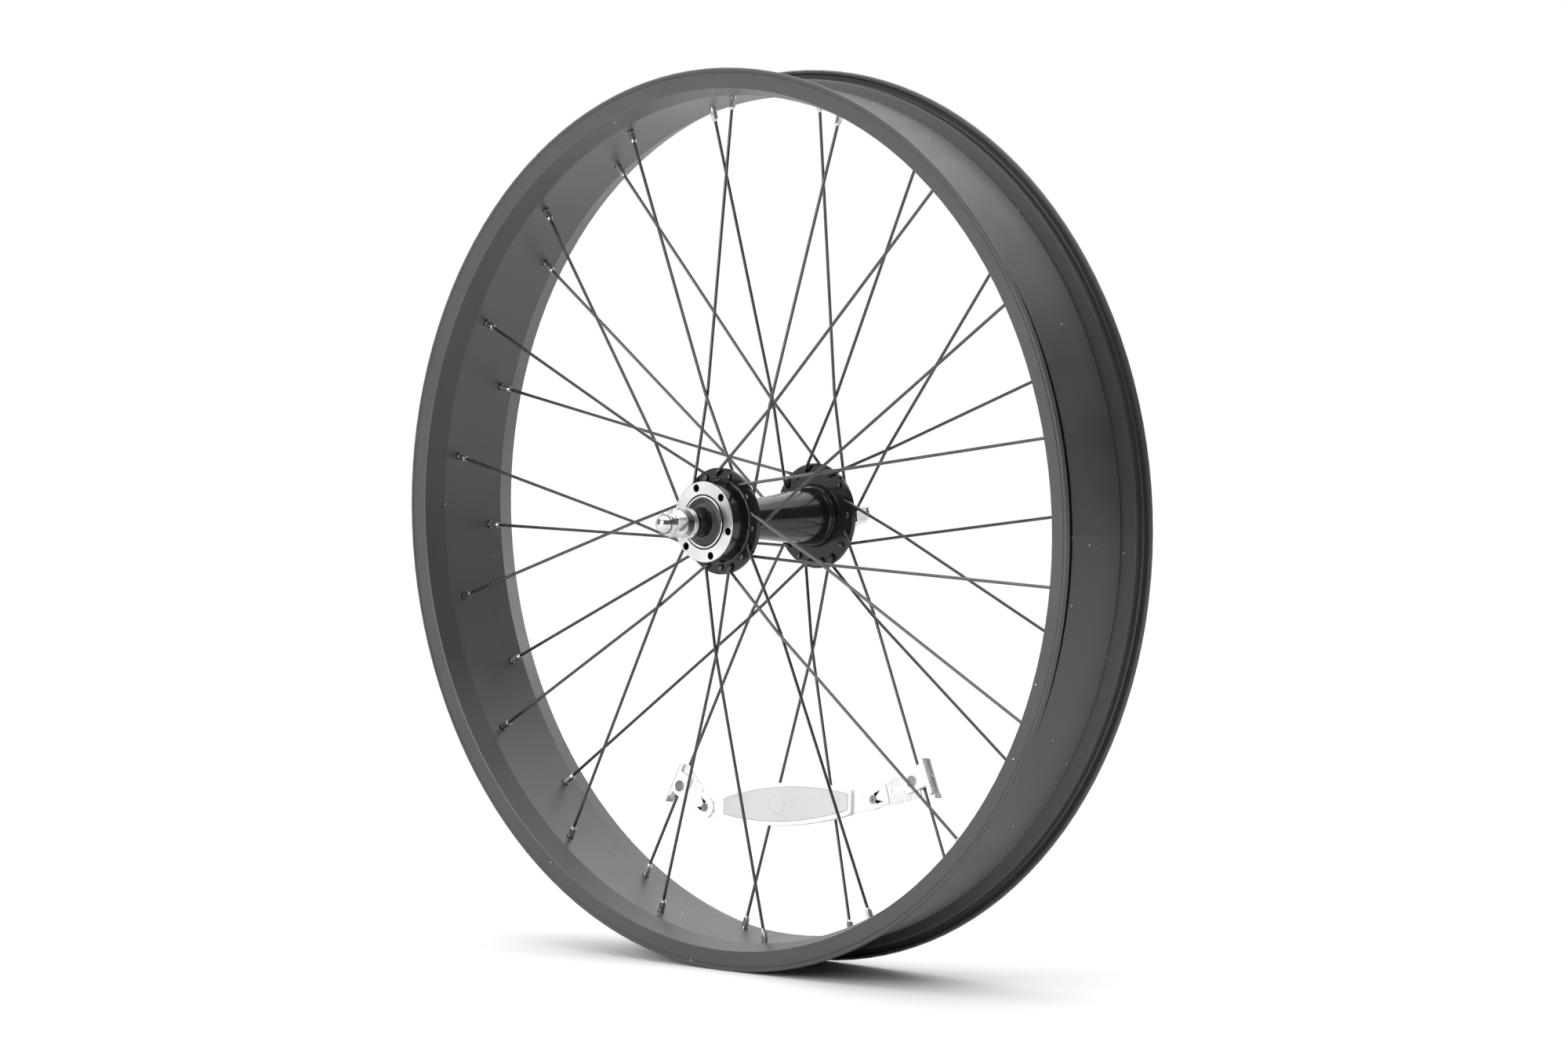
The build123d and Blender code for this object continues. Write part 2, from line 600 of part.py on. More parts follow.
def make_clip(side):
    """Spoke clip: column beside the spoke, tongue over the arm, and a channel that opens outwards."""
    plane = clip_plane(side)
    grip, up = gripped_line(side)
    outer, inner, neck = CLIP_OUTER[side], CLIP_INNER[side], NECK_X[side]
    middle = skyward(plane) * COLUMN_MIDDLE[side]
    back = grip.Y + BACK_DEPTH
    column = RectangleRounded(neck - outer, COLUMN_HEIGHT, COLUMN_CORNER)
    outline = Pos((outer + neck) / 2, middle) * column + tongue(side, neck - COLUMN_CORNER, inner)
    clip = slab(plane, outline, CLIP_FRONT_Y[0], back)
    clip -= slab(plane, tongue(side, neck, inner + 1, 1), CLIP_FRONT_Y[1], POCKET_BACK_Y)
    clip -= slab(plane, tongue(side, BACK_WALL_X, inner + 1, 1), POCKET_BACK_Y - 1, back + 1)
    reach = SPOKE_R + 0.15 - (outer - 1)
    channel = Pos(outer - 1 + reach / 2, 0, 0) * Box(reach, 2 * SPOKE_R + 0.3, 60)
    clip -= Plane(origin=grip, x_dir=plane.x_dir, z_dir=up) * channel
    pin_hole = Pos(*in_plane(plane, *PIN[side])) * Circle(PIN_R + 0.03)
    return clip - slab(plane, pin_hole, CLIP_FRONT_Y[0] - 1, CLIP_FRONT_Y[1] + 0.5)


def make_clip_pin(side):
    plane = upright(*PIN[side], 0)
    radius, hollow = PIN_HEAD
    pin = slab(plane, Circle(PIN_R), PIN_FRONT_Y, POCKET_BACK_Y - 0.1)
    pin += slab(plane, Circle(radius), PIN_FRONT_Y, CLIP_FRONT_Y[0] - 0.03)
    return pin - slab(plane, Circle(hollow), PIN_FRONT_Y - 1, PIN_FRONT_Y + 0.6)


def make_latch(side):
    """Latch that closes the clip's outer side over the spoke: slotted plate with a stop and a foot."""
    plane = clip_plane(side)
    sky = skyward(plane)
    back = gripped_line(side)[0].Y + BACK_DEPTH
    face = CLIP_OUTER[side] - 0.1
    low = face - LATCH_THICKNESS
    middle = sky * (COLUMN_MIDDLE[side] - LATCH_DROP)
    foot_middle = middle - sky * (LATCH_HEIGHT + LATCH_FOOT) / 2
    middle_y = (LATCH_FRONT_Y + back) / 2
    latch = slab(plane, band(low, face, LATCH_HEIGHT, middle), LATCH_FRONT_Y, back)
    latch -= slab(plane, band(low - 1, low + 0.4, LATCH_HEIGHT - 3, middle), middle_y - 0.7, middle_y + 0.7)
    latch += slab(plane, band(low - 0.5, face - 0.2, 2.4, middle), middle_y - 1.4, middle_y + 1.4)
    return latch + slab(plane, band(low - 0.4, face, LATCH_FOOT, foot_middle), LATCH_FRONT_Y + 0.6, back)


def make_reflector():
    nodes = {"reflector_frame": make_reflector_frame(), "reflector_lens": make_reflector_lens()}
    for side in ("left", "right"):
        nodes["reflector_arm_" + side] = make_arm(side)
        nodes["reflector_rivet_" + side] = make_rivet(side)
        nodes["clip_" + side] = make_clip(side)
        nodes["clip_pin_" + side] = make_clip_pin(side)
        nodes["clip_latch_" + side] = make_latch(side)
    return {name: leaning() * node for name, node in nodes.items()}


def write_nodes(nodes):
    os.makedirs("parts", exist_ok=True)
    for name, shape in nodes.items():
        solids = shape if isinstance(shape, list) else [shape]
        solids = [solid for item in solids for solid in item.solids()]
        export_step(solids[0] if len(solids) == 1 else Compound(children=solids), "parts/" + name + ".step")


def main():
    nodes = {"hub_shell": make_hub_shell(), "rim": make_rim(), "rim_strip": make_rim_strip()}
    nodes.update(make_lacing())
    nodes.update(make_bearings())
    nodes.update(make_axle_hardware())
    nodes.update(make_reflector())
    write_nodes(nodes)


main()
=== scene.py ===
import json
import math

import bmesh
import bpy
from mathutils import Matrix, Vector


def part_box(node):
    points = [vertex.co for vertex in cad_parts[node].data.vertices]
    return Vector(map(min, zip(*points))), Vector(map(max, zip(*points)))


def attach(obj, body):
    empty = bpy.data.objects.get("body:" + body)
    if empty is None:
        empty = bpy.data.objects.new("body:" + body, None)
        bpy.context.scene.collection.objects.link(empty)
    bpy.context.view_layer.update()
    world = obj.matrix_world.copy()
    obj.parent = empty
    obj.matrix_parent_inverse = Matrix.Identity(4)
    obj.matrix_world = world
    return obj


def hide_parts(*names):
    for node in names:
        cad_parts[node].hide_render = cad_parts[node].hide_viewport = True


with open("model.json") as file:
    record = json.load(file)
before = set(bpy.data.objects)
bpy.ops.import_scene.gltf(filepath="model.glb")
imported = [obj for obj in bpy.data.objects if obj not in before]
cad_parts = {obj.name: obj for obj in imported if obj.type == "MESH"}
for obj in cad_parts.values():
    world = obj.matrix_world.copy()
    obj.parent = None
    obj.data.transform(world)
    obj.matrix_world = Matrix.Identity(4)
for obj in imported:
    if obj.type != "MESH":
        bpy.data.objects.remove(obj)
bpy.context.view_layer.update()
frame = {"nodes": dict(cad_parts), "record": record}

# Looks of a bicycle front wheel around its CAD frame: metres, +Z up, axle along +Y, disc side -Y.
# Angles about the axle run from +X towards +Z, as in the CAD.

MM = 0.001
FLOOR_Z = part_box("rim")[0].z

# --- camera: places along its own right, up and back directions ---
CAMERA_AZIMUTH = math.radians(42.998)
CAMERA_ELEVATION = math.radians(3.072)
CAMERA_DISTANCE = 3.60672
CAMERA_RIGHT = 0.011897
CAMERA_UP = -0.002538
CAMERA_LENS = 129.849

# --- axle thread ---
THREAD_R = 4.99 * MM
THREAD_DEPTH = 0.55 * MM
THREAD_PITCH = 1.0 * MM
THREAD_STEPS = 40            # sections in one turn
THREAD_CHAMFER = 0.9 * MM
THREAD_PROFILE = (           # shares of the pitch and of the depth
    (0.0, 0.0), (0.3, 1.0), (0.5, 1.0), (0.8, 0.0),
)

# --- lacing, for the domed spoke heads ---
SPOKES_PER_SET = 9
SET_PITCH = 360.0 / SPOKES_PER_SET
HOLE_CIRCLE_R = 29.3 * MM
HEAD_R = 1.9 * MM
HEAD_FLAT = 1.15 * MM        # from the flange face to the flat top of a head
HEAD_SIDES = 20
HEAD_DOME = (                # share of the head's radius, height in mm
    (1.0, 0.0), (0.97, 0.18), (0.85, 0.34), (0.62, 0.48), (0.32, 0.56), (0.0, 0.60),
)
FLANGE_HALF = 1.6 * MM
FLANGE_Y = {"left": -41.0 * MM, "right": 47.7 * MM}
SET_ANGLE = {                # angle of the first hub hole of each set
    ("left", "outer"): 53.0, ("left", "inner"): -7.0,
    ("right", "outer"): -37.0, ("right", "inner"): 63.0,
}

# --- reflector ---
FRAME_MIDDLE = (2.2 * MM, -184.4 * MM)       # x, z
FRAME_TILT = math.radians(5.4)
LEAN = math.radians(8.4)                     # top towards +Y, along the spokes it is clipped to
LEAN_LINE = (19.5 * MM, -183.9 * MM)         # y, z of the line it leans about
LENS_HALF_LENGTH = 54.05 * MM
LENS_HALF_HEIGHT = 11.1 * MM
LENS_HALF_END = 5.1 * MM
LENS_CORNER = 1.6 * MM
LENS_ROUNDING = 0.8 * MM     # of the front face's border
LENS_FRONT_Y = 15.35 * MM
LENS_BACK_Y = 18.65 * MM
PRISM_PITCH = 1.9 * MM
PRISM_DEPTH = 0.85 * MM
LENS_STEP = 0.3 * MM
BOSS_X = -6.0 * MM
BOSS_R = 6.7 * MM
BOSS_HEIGHT = 0.7 * MM
BOSS_SLOPE = 0.9 * MM
ZONE_X = 40.0 * MM           # where the end zones of the lens begin
WHITE_MOULDINGS = (
    "reflector_frame", "reflector_arm_left", "reflector_arm_right", "clip_left", "clip_right",
)
LATCHES = ("clip_latch_left", "clip_latch_right")
MOULDING_ROUND = 0.25 * MM
LATCH_ROUND = 0.2 * MM
SHARP_EDGE = 32.0            # degrees, from which a moulding's edge is rounded

# --- disc face ---
DISC_FACE_Y = -56.95 * MM

# --- stage ---
FLOOR_R = 14.0
SUN_SPREAD = math.radians(105)
SUN_TILT = math.radians(-6)
SUN_ENERGY = 3.1
SOFT_BOXES = {               # place along the camera's right, up and back; side; power
    "left_box": ((-1.9, 0.6, 1.5), 1.5, 46),
    "right_box": ((2.2, 0.6, -1.9), 1.1, 12),
}
WORLD_RAMP = (-0.8, 0.0)     # cosine of the angle to the camera's back: white below, dark above
WORLD_WHITE = 1.0
WORLD_DARK = 0.14
WORLD_MATT_SHARE = 0.5       # of the world's light that matt surfaces take


# ---------------------------------------------------------------- materials

class Finish:
    """A Principled material, with short ways to add procedural nodes to it."""

    def __init__(self, name, color, roughness, **constants):
        self.material = bpy.data.materials.new(name)
        self.material.use_nodes = True
        self.nodes = self.material.node_tree.nodes
        self.links = self.material.node_tree.links
        self.shader = self.nodes["Principled BSDF"]
        self.shader.inputs["Base Color"].default_value = (*color, 1)
        self.shader.inputs["Roughness"].default_value = roughness
        for socket, value in constants.items():
            self.shader.inputs[socket.replace("_", " ")].default_value = value
        self.place = self.node("ShaderNodeTexCoord").outputs["Object"]

    def node(self, kind, inputs=(), **settings):
        node = self.nodes.new(kind)
        for name, value in settings.items():
            setattr(node, name, value)
        for socket, value in dict(inputs).items():
            self.set(node.inputs[socket], value)
        return node

    def set(self, socket, value):
        if isinstance(value, bpy.types.NodeSocket):
            self.links.new(value, socket)
        else:
            socket.default_value = value

    def math(self, operation, *values):
        node = self.node("ShaderNodeMath", enumerate(values), operation=operation)
        return node.outputs[0]

    def noise(self, scale, detail=3.0, vector=None, roughness=0.5):
        inputs = {"Vector": vector or self.place, "Scale": scale, "Detail": detail,
                  "Roughness": roughness}
        return self.node("ShaderNodeTexNoise", inputs).outputs["Fac"]

    def span(self, value, low, high, to_low=0.0, to_high=1.0):
        inputs = {0: value, 1: low, 2: high, 3: to_low, 4: to_high}
        return self.node("ShaderNodeMapRange", inputs).outputs[0]

    def blend(self, factor, first, second):
        node = self.node("ShaderNodeMix", data_type="RGBA")
        self.set(node.inputs[0], factor)
        for index, color in ((6, first), (7, second)):
            self.set(node.inputs[index], color if not isinstance(color, tuple) else (*color, 1))
        return node.outputs[2]

    def axle_place(self):
        """Radius from the axle, and place along it."""
        parts = self.node("ShaderNodeSeparateXYZ", {0: self.place}).outputs
        squares = self.math("ADD", self.math("MULTIPLY", parts[0], parts[0]),
                            self.math("MULTIPLY", parts[2], parts[2]))
        return self.math("SQRT", squares), parts[1]

    def turned(self, scale, detail=2.0):
        """Noise that changes with radius and width but not round the axle, like lathe marks."""
        radius, along = self.axle_place()
        vector = self.node("ShaderNodeCombineXYZ", {0: radius, 1: along}).outputs[0]
        return self.noise(scale, detail, vector)

    def dust(self, color, share=0.35, scale=70.0, size=0.045, tone=(0.45, 0.45, 0.44)):
        """Sparse pale specks over a colour."""
        cells = self.node("ShaderNodeTexVoronoi", {"Vector": self.place, "Scale": scale})
        near = self.math("LESS_THAN", cells.outputs["Distance"], size)
        pick = self.node("ShaderNodeSeparateColor", {0: cells.outputs["Color"]}).outputs[0]
        chosen = self.math("LESS_THAN", pick, share)
        return self.blend(self.math("MULTIPLY", near, chosen), color, tone)

    def color(self, value):
        self.set(self.shader.inputs["Base Color"], value)

    def roughness(self, value):
        self.set(self.shader.inputs["Roughness"], value)

    def bump(self, height, strength, distance):
        inputs = {"Height": height, "Strength": strength, "Distance": distance}
        node = self.node("ShaderNodeBump", inputs)
        self.set(self.shader.inputs["Normal"], node.outputs[0])


def anodised_rim():
    """Satin black anodised extrusion: fine lines round the rim, faint cloud and a little dust."""
    m = Finish("anodised_rim", (0.03, 0.03, 0.032), 0.42, Specular_IOR_Level=0.6)
    lines = m.turned(1400.0)
    cloud = m.noise(14.0, 4.0)
    tone = m.blend(m.span(cloud, 0.35, 0.65), (0.036, 0.037, 0.038), (0.044, 0.045, 0.047))
    tone = m.blend(m.span(lines, 0.3, 0.7, 0.0, 0.5), tone, (0.052, 0.053, 0.055))
    m.color(m.dust(tone))
    m.roughness(m.math("ADD", m.span(lines, 0.3, 0.7, 0.36, 0.44),
                       m.span(cloud, 0.3, 0.7, 0.0, 0.06)))
    m.bump(m.math("ADD", m.noise(4200.0, 2.0), m.math("MULTIPLY", lines, 0.6)), 0.12, 0.00004)
    return m.material


def satin_strip():
    """Black plastic rim strip: smooth, slightly greasy, with fine lengthwise marks."""
    m = Finish("satin_strip", (0.04, 0.04, 0.042), 0.45)
    lines = m.turned(700.0)
    smear = m.noise(22.0, 5.0, roughness=0.6)
    tone = m.blend(m.span(smear, 0.35, 0.65), (0.036, 0.037, 0.038), (0.05, 0.051, 0.053))
    m.color(m.dust(tone, 0.5))
    m.roughness(m.span(smear, 0.3, 0.7, 0.36, 0.52))
    m.bump(m.math("ADD", lines, m.noise(1500.0)), 0.1, 0.00005)
    return m.material


def hub_shell_finish():
    """Gloss black shell whose disc face is machined bare, with turning marks."""
    m = Finish("hub_gloss", (0.008, 0.009, 0.008), 0.16, Specular_IOR_Level=0.5, Anisotropic=0.55)
    radius, along = m.axle_place()
    bare = m.math("LESS_THAN", along, DISC_FACE_Y)
    marks = m.noise(9000.0, 2.0, m.node("ShaderNodeCombineXYZ", {0: radius}).outputs[0])
    cloud = m.noise(60.0, 4.0)
    black = m.blend(m.span(cloud, 0.35, 0.65), (0.007, 0.008, 0.007), (0.012, 0.013, 0.012))
    metal = m.blend(m.span(marks, 0.3, 0.7), (0.70, 0.70, 0.71), (0.86, 0.86, 0.87))
    m.color(m.blend(bare, m.dust(black, 0.25, 240.0, 0.05, (0.12, 0.12, 0.12)), metal))
    m.set(m.shader.inputs["Metallic"], bare)
    smooth = m.span(cloud, 0.3, 0.7, 0.12, 0.2)
    turned = m.span(marks, 0.25, 0.75, 0.2, 0.34)
    m.roughness(m.math("ADD", m.math("MULTIPLY", smooth, m.math("SUBTRACT", 1.0, bare)),
                       m.math("MULTIPLY", turned, bare)))
    ripple = m.math("MULTIPLY", marks, m.math("ADD", 0.05, bare))
    m.bump(ripple, 0.25, 0.00003)
    tangent = m.node("ShaderNodeTangent", direction_type="RADIAL", axis="Y")
    m.set(m.shader.inputs["Tangent"], tangent.outputs[0])
    return m.material


def turned_metal(name, dark, light, roughness, scale=2600.0, wear=0.15):
    """Metal cut on a lathe: marks round the axle and a soft tarnish."""
    m = Finish(name, light, roughness, Metallic=1.0)
    marks = m.turned(scale)
    tarnish = m.noise(160.0, 4.0, roughness=0.6)
    tone = m.blend(m.span(marks, 0.3, 0.7), dark, light)
    dull = tuple(channel * (1 - wear) for channel in dark)
    m.color(m.blend(m.span(tarnish, 0.5, 0.75), tone, dull))
    m.roughness(m.math("ADD", m.span(marks, 0.3, 0.7, roughness * 0.8, roughness * 1.15),
                       m.span(tarnish, 0.45, 0.7, 0.0, 0.08)))
    m.bump(marks, 0.15, 0.00003)
    return m.material


def plated_metal(name, dark, light, roughness):
    """Plated metal with no direction: faint cloud, fine scratches and pits."""
    m = Finish(name, light, roughness, Metallic=1.0)
    cloud = m.noise(220.0, 5.0, roughness=0.65)
    scratch = m.noise(2600.0, 2.0)
    m.color(m.blend(m.span(cloud, 0.35, 0.68), light, dark))
    m.roughness(m.math("ADD", m.span(cloud, 0.3, 0.7, roughness * 0.7, roughness * 1.3),
                       m.span(scratch, 0.6, 0.8, 0.0, 0.1)))
    m.bump(scratch, 0.04, 0.00002)
    return m.material


def black_steel(name, roughness):
    """Black oxide on steel: brown-grey bloom and rubbed places."""
    m = Finish(name, (0.03, 0.03, 0.03), roughness, Metallic=0.85)
    bloom = m.noise(300.0, 5.0, roughness=0.65)
    rub = m.turned(1800.0)
    tone = m.blend(m.span(bloom, 0.35, 0.65), (0.035, 0.035, 0.036), (0.075, 0.073, 0.07))
    m.color(m.blend(m.span(rub, 0.56, 0.72), tone, (0.16, 0.155, 0.15)))
    m.roughness(m.span(bloom, 0.3, 0.7, roughness * 0.75, roughness * 1.25))
    m.bump(m.math("ADD", bloom, rub), 0.12, 0.00003)
    return m.material


def black_wire():
    """Gloss black paint on drawn wire, with lengthwise waviness and a few chips."""
    m = Finish("black_wire", (0.012, 0.012, 0.012), 0.24, Specular_IOR_Level=0.6, Coat_Weight=0.35,
               Coat_Roughness=0.12)
    wave = m.noise(120.0, 3.0)
    m.color(m.dust(m.blend(m.span(wave, 0.35, 0.65), (0.010, 0.010, 0.010), (0.022, 0.022, 0.022)),
                   0.3, 260.0, 0.06, (0.3, 0.3, 0.3)))
    m.roughness(m.span(wave, 0.3, 0.7, 0.2, 0.32))
    m.bump(m.noise(1800.0), 0.08, 0.00003)
    return m.material


def moulded_white():
    """Satin white moulding: faint flow marks and fine texture."""
    m = Finish("moulded_white", (0.85, 0.85, 0.855), 0.38, Subsurface_Weight=0.15,
               Subsurface_Scale=0.002)
    flow = m.noise(70.0, 4.0, roughness=0.55)
    m.color(m.blend(m.span(flow, 0.3, 0.7), (0.82, 0.82, 0.83), (0.88, 0.88, 0.885)))
    m.roughness(m.span(flow, 0.3, 0.7, 0.32, 0.46))
    m.bump(m.noise(2200.0, 3.0), 0.12, 0.00004)
    return m.material


def clear_plastic():
    """Clear acrylic, a little hazy, with fine moulding marks."""
    m = Finish("clear_plastic", (0.97, 0.97, 0.975), 0.1, Transmission_Weight=0.45, IOR=1.49)
    haze = m.noise(140.0, 4.0)
    m.color(m.blend(m.span(haze, 0.3, 0.7), (0.95, 0.95, 0.955), (0.99, 0.99, 0.99)))
    m.roughness(m.span(haze, 0.3, 0.7, 0.05, 0.14))
    m.bump(m.noise(1200.0), 0.05, 0.00004)
    return m.material


def cloudy_latch():
    """Translucent grey-brown plastic with swirled colour."""
    m = Finish("cloudy_latch", (0.55, 0.52, 0.49), 0.25, Transmission_Weight=0.35, IOR=1.5)
    swirl = m.noise(110.0, 4.0, roughness=0.6)
    m.color(m.blend(m.span(swirl, 0.3, 0.7), (0.50, 0.46, 0.43), (0.68, 0.66, 0.63)))
    m.roughness(m.span(swirl, 0.3, 0.7, 0.2, 0.34))
    m.bump(m.noise(1500.0), 0.08, 0.00004)
    return m.material


def black_rubber():
    """Moulded black rubber with a greasy bloom."""
    m = Finish("black_rubber", (0.02, 0.02, 0.02), 0.5)
    bloom = m.noise(420.0, 4.0)
    m.color(m.blend(m.span(bloom, 0.35, 0.65), (0.014, 0.014, 0.014), (0.03, 0.03, 0.031)))
    m.roughness(m.span(bloom, 0.3, 0.7, 0.34, 0.55))
    m.bump(m.math("ADD", bloom, m.turned(1600.0)), 0.12, 0.00005)
    return m.material


def make_finishes():
    """One material for each of the record's slots."""
    return {
        "rim": anodised_rim(),
        "strip": satin_strip(),
        "hub": hub_shell_finish(),
        "spoke": black_wire(),
        "nipple": plated_metal("nickel_nipple", (0.42, 0.40, 0.37), (0.74, 0.72, 0.69), 0.22),
        "thread_steel": turned_metal("thread_steel",
                                     (0.16, 0.16, 0.165), (0.32, 0.32, 0.33), 0.34),
        "black_steel": black_steel("black_oxide", 0.34),
        "zinc": turned_metal("bright_zinc", (0.50, 0.53, 0.56), (0.72, 0.75, 0.78), 0.24),
        "chrome": plated_metal("polished_chrome", (0.50, 0.49, 0.48), (0.70, 0.69, 0.685), 0.08),
        "bearing_steel": turned_metal("bearing_steel",
                                      (0.50, 0.50, 0.51), (0.68, 0.68, 0.69), 0.16),
        "bright_metal": turned_metal("bright_ring", (0.62, 0.62, 0.63), (0.82, 0.82, 0.83), 0.2),
        "rubber": black_rubber(),
        "white_plastic": moulded_white(),
        "clear_lens": clear_plastic(),
        "rivet": plated_metal("plated_rivet", (0.45, 0.44, 0.43), (0.70, 0.70, 0.69), 0.26),
        "latch": cloudy_latch(),
    }


finishes = make_finishes()


def paint_cad_nodes():
    for part in frame["record"]["subparts"]:
        node = frame["nodes"][part["node"]]
        for material_slot in node.material_slots:
            material_slot.material = finishes[part["material_slot"]]


# ---------------------------------------------------------------- pieces

def polar(radius, degrees, y=0.0):
    angle = math.radians(degrees)
    return Vector((radius * math.cos(angle), y, radius * math.sin(angle)))


def add_piece(name, mesh, body, slot, nodes=(), sharp=35.0):
    """Links a mesh as a piece of a body, in a slot's finish, in place of the CAD nodes named."""
    piece = bpy.data.objects.new(name, mesh)
    bpy.context.scene.collection.objects.link(piece)
    mesh.materials.clear()
    mesh.materials.append(finishes[slot])
    mesh.shade_smooth()
    mesh.set_sharp_from_angle(angle=math.radians(sharp))
    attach(piece, body)
    if nodes:
        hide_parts(*nodes)
    return piece


def mesh_from(vertices, faces, name):
    mesh = bpy.data.meshes.new(name)
    mesh.from_pydata(vertices, [], faces)
    mesh.validate()
    return mesh


def node_body(node):
    bodies = frame["record"]["behaviour"]["bodies"]
    return next(body for body, members in bodies.items() if node in members)


def soften(node, slot, width):
    """A copy of a flat-sided CAD node with its sharp edges rounded."""
    shape = bmesh.new()
    shape.from_mesh(frame["nodes"][node].data)
    bmesh.ops.remove_doubles(shape, verts=shape.verts, dist=0.002 * MM)
    mesh = bpy.data.meshes.new(node + "_soft")
    shape.to_mesh(mesh)
    shape.free()
    piece = add_piece(node + "_moulded", mesh, node_body(node), slot, [node])
    edge = piece.modifiers.new("rounded", "BEVEL")
    edge.width = width
    edge.segments = 2
    edge.limit_method = "ANGLE"
    edge.angle_limit = math.radians(SHARP_EDGE)
    edge.use_clamp_overlap = False
    edge.harden_normals = True
    return piece


def thread_rows(low, high):
    """Sections of one thread pitch, a step of a turn apart, kept inside the axle's two ends."""
    count = int((high - low) / THREAD_PITCH * THREAD_STEPS)
    rows = []
    for step in range(-THREAD_STEPS, count + THREAD_STEPS):
        angle = 360.0 * step / THREAD_STEPS
        row = []
        for share, lift in THREAD_PROFILE:
            y = low + (step / THREAD_STEPS + share) * THREAD_PITCH
            y = min(max(y, low), high)
            limit = THREAD_R - THREAD_CHAMFER + min(y - low, high - y)
            row.append(polar(min(THREAD_R - THREAD_DEPTH * (1 - lift), limit), angle, y))
        rows.append(row)
    return rows


def thread_faces(count):
    """Faces along the helix, with the last point of a section joined to the next turn's first."""
    size = len(THREAD_PROFILE)
    faces = []
    for index in range(count - 1):
        here, there = index * size, (index + 1) * size
        for k in range(size - 1):
            faces.append((here + k, there + k, there + k + 1, here + k + 1))
        next_turn = here + THREAD_STEPS * size
        if index + THREAD_STEPS + 1 < count:
            faces.append((here + size - 1, there + size - 1, next_turn + size, next_turn))
    return faces


def make_axle_thread():
    """The axle with a real helical thread, tapering out at both tips."""
    low, high = (corner.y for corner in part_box("axle"))
    rows = thread_rows(low, high)
    vertices = [point for row in rows for point in row]
    mesh = mesh_from(vertices, thread_faces(len(rows)), "axle_thread")
    shape = bmesh.new()
    shape.from_mesh(mesh)
    bmesh.ops.dissolve_degenerate(shape, dist=0.001 * MM, edges=shape.edges)
    for end, sign in ((low, 1), (high, -1)):
        facing = Matrix.Rotation(sign * math.pi / 2, 4, "X")
        bmesh.ops.create_circle(shape, cap_ends=True, segments=THREAD_STEPS,
                                radius=THREAD_R - THREAD_CHAMFER,
                                matrix=Matrix.Translation((0, end, 0)) @ facing)
    shape.to_mesh(mesh)
    shape.free()
    return add_piece("axle_threaded", mesh, node_body("axle"), "thread_steel", ["axle"], 50.0)


def domed_head(centre, away, start):
    """Points and faces of one head, domed in the direction away and numbered from start."""
    vertices = []
    faces = []
    for share, lift in HEAD_DOME[:-1]:
        for k in range(HEAD_SIDES):
            offset = polar(HEAD_R * share, 360.0 * k / HEAD_SIDES, away * lift * MM)
            vertices.append(centre + offset)
    vertices.append(centre + Vector((0, away * HEAD_DOME[-1][1] * MM, 0)))
    top = start + len(vertices) - 1
    for ring in range(len(HEAD_DOME) - 2):
        for k in range(HEAD_SIDES):
            a = start + ring * HEAD_SIDES + k
            b = start + ring * HEAD_SIDES + (k + 1) % HEAD_SIDES
            faces.append((a, b, b + HEAD_SIDES, a + HEAD_SIDES))
    last = start + (len(HEAD_DOME) - 2) * HEAD_SIDES
    for k in range(HEAD_SIDES):
        faces.append((last + k, last + (k + 1) % HEAD_SIDES, top))
    faces.append(tuple(start + k for k in reversed(range(HEAD_SIDES))))
    return vertices, faces


def make_spoke_heads():
    """Domed heads over the flat CAD heads, on the side of each flange away from the spoke."""
    for (side, kind), first in SET_ANGLE.items():
        outward = math.copysign(1, FLANGE_Y[side])
        away = -outward if kind == "outer" else outward
        base_y = FLANGE_Y[side] + away * (FLANGE_HALF + HEAD_FLAT)
        vertices = []
        faces = []
        for spoke in range(SPOKES_PER_SET):
            centre = polar(HOLE_CIRCLE_R, first + SET_PITCH * spoke, base_y)
            head_vertices, head_faces = domed_head(centre, away, len(vertices))
            vertices += head_vertices
            faces += head_faces
        mesh = mesh_from(vertices, faces, "spoke_heads")
        shape = bmesh.new()
        shape.from_mesh(mesh)
        bmesh.ops.recalc_face_normals(shape, faces=shape.faces)
        shape.to_mesh(mesh)
        shape.free()
        add_piece("spoke_heads_" + side + "_" + kind, mesh, "wheel", "spoke")


def lens_half_height(x):
    """Half height of the lens outline at x: a long arc with rounded corners."""
    rise = LENS_HALF_HEIGHT - LENS_HALF_END
    radius = (LENS_HALF_LENGTH ** 2 + rise ** 2) / (2 * rise)
    height = math.sqrt(radius ** 2 - x ** 2) - radius + LENS_HALF_HEIGHT
    inside = LENS_HALF_LENGTH - abs(x)
    if inside < LENS_CORNER:
        height -= LENS_CORNER - math.sqrt(max(0.0, LENS_CORNER ** 2 - (LENS_CORNER - inside) ** 2))
    return height


def prism_height(x, z):
    """Three families of V grooves, which leave triangular prisms; the middle zone's are turned."""
    turn = 0.0 if abs(x) < ZONE_X else 90.0
    heights = []
    for family in (0, 120, 240):
        angle = math.radians(family + turn)
        place = (x * math.cos(angle) + z * math.sin(angle)) / PRISM_PITCH
        heights.append(abs(place - math.floor(place) - 0.5) * 2)
    return PRISM_DEPTH * (1 - max(1 - height for height in heights))


def lens_front(x, z):
    """Depth of the lens's front face at a point: rounded at the border, raised in the boss."""
    edge = min(lens_half_height(x) - abs(z), LENS_HALF_LENGTH - abs(x))
    drop = 0.0
    if edge < LENS_ROUNDING:
        drop = LENS_ROUNDING - math.sqrt(max(0.0, LENS_ROUNDING ** 2 - (LENS_ROUNDING - edge) ** 2))
    off = math.hypot(x - BOSS_X, z)
    boss = BOSS_HEIGHT * min(1.0, max(0.0, (BOSS_R - off) / BOSS_SLOPE))
    return LENS_FRONT_Y + drop - boss


